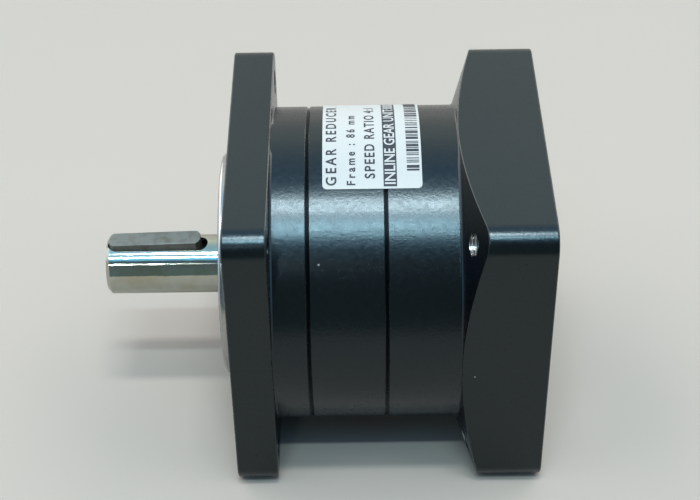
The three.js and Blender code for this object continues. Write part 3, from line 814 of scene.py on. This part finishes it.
def clamp_collar():
    """Split clamping ring with the pocket of its screw."""
    inner, outer = 12.1, 22.0
    stations = [(COLLAR_FROM, inner), (COLLAR_FROM, outer - 0.5), (COLLAR_FROM + 0.5, outer),
                (COLLAR_TO - 0.5, outer), (COLLAR_TO, outer - 0.5), (COLLAR_TO, inner + 0.5),
                (COLLAR_TO - 0.5, inner)]
    body = lofted("clamp_collar_fine", stations, turns(120), [BLACK_STEEL])
    tools = [box_tool((COLLAR_FROM - 1, COLLAR_TO + 1), (-1, 1), (0, outer + 1), BLACK_STEEL),
             across(drill(-outer, outer, 2.5, BLACK_STEEL, 32)),
             across(drill(-outer, -6.0, 4.6, BLACK_STEEL, 48))]
    for tool in tools:
        cut(body, tool)
    return finished(body, "input", "black_steel", "clamp_collar")


def input_shaft():
    """Sun gear, bearing seat and slotted clamp hub with the motor shaft's bore."""
    seat, hub, bore = 12.5, 12.0, 7.0
    neck = [(36.0, CLOSED), (36.0, 9.0), (43.5, 9.0), (44.5, 11.0), (49.4, 11.0)]
    bearing = [(49.4, seat), (49.7, seat), (49.7, 11.8), (51.0, 11.8), (51.0, seat), (58.2, seat)]
    shoulder = [(58.2, 14.2), (58.5, 14.5), (60.1, 14.5), (60.4, 14.2)]
    clamped = [(60.4, hub), (HUB_END - 0.5, hub), (HUB_END, hub - 0.5)]
    inside = [(HUB_END, bore + 0.8), (HUB_END - 0.8, bore), (46.5, bore), (44.5, CLOSED)]
    stations = neck + bearing + shoulder + clamped + inside
    body = lofted("input_shaft_fine", stations, turns(96), [GEAR_STEEL], ring=False)
    cut(body, box_tool((61, HUB_END + 1), (-0.6, 0.6), (0, 13), GEAR_STEEL))
    pitch = MODULE * SUN_TEETH / 2
    base = pitch * math.cos(PRESSURE)
    radii = [pitch - 1.25, *np.linspace(base, pitch + 1, 5)]
    angles, teeth = tooth_line(SUN_TEETH, radii, math.pi / 2 - 0.1, FIRST_PLANET)
    sun = lofted("sun", [(24.0, teeth - 0.3), (24.3, teeth), (37.0, teeth)], angles, [GEAR_STEEL], ring=False)
    return finished(joined("input_shaft_fine", [body, sun]), "input", "gear_steel", "input_shaft")


# ------------------------------------------------------------------ name label
LABEL_UNDER = BARREL + 0.03
LABEL_TOP = BARREL + 0.17
LABEL_NEAR = math.radians(24)  # from the top of the barrel towards the viewer
LABEL_FAR = math.radians(-57)
LABEL_CORNER = 1.2
FIRST_LETTER = LABEL_NEAR - 0.9 / BARREL
# The dark lines: the words, the stations of their tops and feet, how far after the first letter of
# the label they start, and their spacing.
LABEL_LINES = [
    ("GEAR REDUCER", 25.4, 28.0, 0.0, 1.42),
    ("Frame : 86 mm", 30.7, 32.8, 0.0, 1.5),
    ("SPEED RATIO 4:1", 35.3, 37.8, 2.0, 1.24),
]
BAND_FROM, BAND_TO = 40.0, 43.4
BARS_FROM, BARS_TO = 46.0, 49.2


def wrapped(x, lean, radius):
    """A point on the barrel: a station and an angle from the top towards -Y."""
    return station(x), -radius * math.sin(lean) * MM, radius * math.cos(lean) * MM


def film_strip(name, x_from, x_to, near, far, under, top, material, corner=0.0):
    """A strip of film on the barrel, with rounded corners if it has a corner radius."""
    steps = max(2, int(abs(near - far) / math.radians(1.2)))
    leans = list(np.linspace(near, far, steps + 1))
    if corner:
        bend = corner / BARREL
        curve = [bend * (1 - math.cos(a)) for a in np.linspace(0, math.pi / 2, 7)]
        leans = [near - c for c in curve] + leans[2:-2] + [far + c for c in reversed(curve)]
    insets = []
    for lean in leans:
        distance = min(abs(lean - near), abs(lean - far)) * BARREL
        reach = max(corner - distance, 0)
        insets.append(corner - math.sqrt(max(corner**2 - reach**2, 0)))
    vertices = []
    for lean, inset in zip(leans, insets):
        vertices += [wrapped(x_from + inset, lean, under), wrapped(x_to - inset, lean, under),
                     wrapped(x_to - inset, lean, top), wrapped(x_from + inset, lean, top)]
    faces = [(4 * i + a, 4 * i + b, 4 * i + 4 + b, 4 * i + 4 + a)
             for i in range(len(leans) - 1) for a, b in ((0, 1), (1, 2), (2, 3), (3, 0))]
    last = 4 * (len(leans) - 1)
    faces += [(0, 1, 2, 3), (last, last + 1, last + 2, last + 3)]
    return new_piece(name, vertices, faces, [material])


def printed_words(words, top_x, base_x, lean, material, radius, spread, bold):
    """Words along the label, read from the near edge upwards, with their tops towards -X."""
    curve = bpy.data.curves.new("words", "FONT")
    curve.body = words
    capital = 0.69  # the built-in font's capitals, as a share of its size
    curve.size = (base_x - top_x) / capital
    curve.space_character = spread
    curve.offset = bold
    curve.extrude = 0.01
    curve.resolution_u = 4
    text = bpy.data.objects.new("words", curve)
    bpy.context.scene.collection.objects.link(text)
    mesh = bpy.data.meshes.new_from_object(text.evaluated_get(bpy.context.evaluated_depsgraph_get()))
    vertices = [wrapped(base_x - v.co.y, lean - v.co.x / BARREL, radius + v.co.z) for v in mesh.vertices]
    faces = [tuple(face.vertices) for face in mesh.polygons]
    bpy.data.objects.remove(text)
    bpy.data.meshes.remove(mesh)
    return new_piece("words", vertices, faces, [material])


def barcode(near, radius):
    """Bars of three widths, in an order that stands for no number."""
    order = random.Random(7)
    bars = []
    lean = near
    while lean > LABEL_FAR + math.radians(6):
        wide = order.choice((0.3, 0.3, 0.55, 0.9)) / BARREL
        bar = film_strip("bar", BARS_FROM, BARS_TO, lean, lean - wide, radius - 0.01, radius + 0.01, INK)
        bars.append(bar)
        lean -= wide + order.choice((0.3, 0.45, 0.8)) / BARREL
    return bars


def name_label():
    """The film, and on it one piece with all the print."""
    film = film_strip("name_label_fine", LABEL_FROM, LABEL_TO, LABEL_NEAR, LABEL_FAR, LABEL_UNDER, LABEL_TOP,
                      FILM, LABEL_CORNER)
    finished(film, "housing", "label_film", "name_label")
    ink = LABEL_TOP + 0.03
    band = film_strip("band", BAND_FROM, BAND_TO, FIRST_LETTER + 0.3 / BARREL, LABEL_FAR + math.radians(5),
                      ink - 0.01, ink + 0.01, INK)
    pieces = [printed_words(words, top, foot, FIRST_LETTER - after / BARREL, INK, ink, spread, 0.07)
              for words, top, foot, after, spread in LABEL_LINES]
    pieces.append(band)
    pieces.append(printed_words("INLINE GEAR UNIT:0000", BAND_FROM + 0.35, BAND_TO - 0.4,
                                FIRST_LETTER - 0.1 / BARREL, FILM, ink + 0.04, 1.0, 0.05))
    pieces += barcode(LABEL_NEAR - 5.2 / BARREL, ink)
    print_piece = joined("label_print", pieces)
    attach(print_piece, "housing")


# ------------------------------------------------------------------ stage, light and camera
def floor():
    """A pale floor in two parts. The part in front of the object stays out of its reflections, as
    if a dark room began there."""
    under = cad_low[2]
    reach, front = 6.0, -0.3
    finish = floor_finish()
    for name, near, far in (("floor", front, reach), ("floor_front", -reach, front)):
        corners = [(-reach, near, under), (reach, near, under), (reach, far, under), (-reach, far, under)]
        piece = new_piece(name, corners, [(0, 1, 2, 3)], [finish])
        piece.visible_glossy = name == "floor"


LIGHT_DISTANCE = 1.5


def strip_light(name, lean, wide, radiance, colour, length, slide):
    """A long area light parallel to the shafts. Its lean from overhead towards -Y and its width are
    in degrees, seen from the object. slide is its shift along X."""
    width = LIGHT_DISTANCE * math.radians(wide)
    data = bpy.data.lights.new(name, "AREA")
    data.shape = "RECTANGLE"
    data.size = length
    data.size_y = width
    data.energy = radiance * math.pi * length * width
    data.color = colour
    light = bpy.data.objects.new(name, data)
    a = math.radians(lean)
    light.location = (slide, -LIGHT_DISTANCE * math.sin(a), LIGHT_DISTANCE * math.cos(a))
    light.rotation_euler = (a, 0, 0)
    bpy.context.scene.collection.objects.link(light)


# The room's light from its back wall, over the ceiling, to its front wall: the direction's -Y share
# against the linear colour.
ROOM_LIGHT = [
    (-1.0, (0.85, 0.85, 0.80)), (-0.77, (1.12, 1.28, 1.25)), (-0.34, (0.55, 0.95, 1.35)),
    (0.3, (0.50, 1.00, 1.50)), (0.54, (0.40, 1.30, 2.20)), (0.63, (0.12, 0.20, 0.28)),
    (0.80, (0.13, 0.18, 0.21)), (1.0, (0.17, 0.25, 0.26)),
]
SIDE_LIGHT = [
    (-1.0, (3.5, 3.35, 3.15)), (0.27, (3.5, 3.35, 3.15)), (0.42, (0.30, 0.32, 0.36)),
    (0.70, (0.11, 0.14, 0.18)),
]
# How much of the side light there is, against the square of the direction's X share.
SIDE_SHARE = [(0.0, 0.0), (0.08, 0.0), (0.18, 1.0), (0.42, 1.0), (0.60, 0.25), (1.0, 0.25)]
BACKDROP = (0.665, 0.665, 0.635, 1)


def room():
    """A pale room, dark in front of the object. The camera sees it as an even backdrop."""
    world = bpy.data.worlds.new("studio")
    world.use_nodes = True
    tree = world.node_tree

    def node(kind, *sources, **settings):
        made = tree.nodes.new(kind)
        for name, value in settings.items():
            setattr(made, name, value)
        for source, target in sources:
            if isinstance(source, (int, float, tuple)):
                made.inputs[target].default_value = source
            else:
                tree.links.new(source, made.inputs[target])
        return made

    direction = node("ShaderNodeTexCoord").outputs["Generated"]
    split = node("ShaderNodeSeparateXYZ", (direction, 0))
    front = node("ShaderNodeMapRange", (split.outputs["Y"], "Value"), (1.0, "From Min"), (-1.0, "From Max"))

    def ramp(source, table, least=0):
        """Colours against a value that runs from least to 1, which the source gives as 0 to 1."""
        made = node("ShaderNodeValToRGB", (source, "Fac"))
        stops = made.color_ramp.elements
        for number, (value, colour) in enumerate(table):
            place = (value - least) / (1 - least)
            stop = stops[number] if number < 2 else stops.new(place)
            stop.position = place
            stop.color = (*colour, 1)
        return made.outputs["Color"]

    x_share = split.outputs["X"]
    squared = node("ShaderNodeMath", (x_share, 0), (x_share, 1), operation="MULTIPLY")
    side_share = ramp(squared.outputs[0], [(place, (share, share, share)) for place, share in SIDE_SHARE])
    forward = front.outputs["Result"]
    sides = node("ShaderNodeMix", (side_share, "Factor"), (ramp(forward, ROOM_LIGHT, -1), "A"),
                 (ramp(forward, SIDE_LIGHT, -1), "B"), data_type="RGBA")
    seen = node("ShaderNodeLightPath").outputs["Is Camera Ray"]
    choice = node("ShaderNodeMix", (seen, "Factor"), (sides.outputs["Result"], "A"), (BACKDROP, "B"),
                  data_type="RGBA")
    tree.links.new(choice.outputs["Result"], tree.nodes["Background"].inputs["Color"])
    bpy.context.scene.world = world


def studio():
    room()
    strip_light("strip_back", 9.6, 3.8, 92, (0.92, 1.0, 1.0), length=0.42, slide=0.02)
    strip_light("strip_middle", 25, 1.8, 125, (0.68, 0.94, 1.0), length=0.5, slide=-0.03)
    strip_light("strip_left", 50.6, 1.8, 66, (0.85, 0.98, 1.0), length=0.08, slide=-0.28)
    bpy.context.scene.view_settings.view_transform = "Standard"


def camera():
    """The photographer's view: nearly along +Y, from 40 degrees above, with a slight tilt."""
    elevation = math.radians(40.397)
    yaw = math.radians(-0.181)
    roll = math.radians(-0.918)
    distance = 0.465265
    level = math.cos(elevation)
    look = Vector((math.sin(yaw) * level, math.cos(yaw) * level, -math.sin(elevation)))
    right = look.cross(Vector((0, 0, 1))).normalized()
    up = right.cross(look)
    across_view = math.cos(roll) * right + math.sin(roll) * up
    up_view = -math.sin(roll) * right + math.cos(roll) * up
    data = bpy.data.cameras.new("camera")
    data.sensor_fit = "HORIZONTAL"
    data.sensor_width = 36.0
    data.lens = 87.545
    view = bpy.data.objects.new("camera", data)
    target = Vector((station(31.175), 0, 4.015 * MM))
    rows = [(across_view[i], up_view[i], -look[i], (target - distance * look)[i]) for i in range(3)]
    view.matrix_world = Matrix((*rows, (0, 0, 0, 1)))
    bpy.context.scene.collection.objects.link(view)
    bpy.context.scene.camera = view


# ------------------------------------------------------------------ the whole scene
def finish_cad_nodes():
    """The sealed inner parts keep their CAD shape and get their finish."""
    for name, node in frame["nodes"].items():
        node.data.materials.clear()
        node.data.materials.append(SLOT_FINISH[NODE_SLOT[name]])


camera()
finish_cad_nodes()
output_housing()
ring_gear()
input_flange()
output_shaft()
shaft_key()
output_seal()
tie_screws()
clamp_screw()
access_plug()
clamp_collar()
input_shaft()
name_label()
floor()
studio()
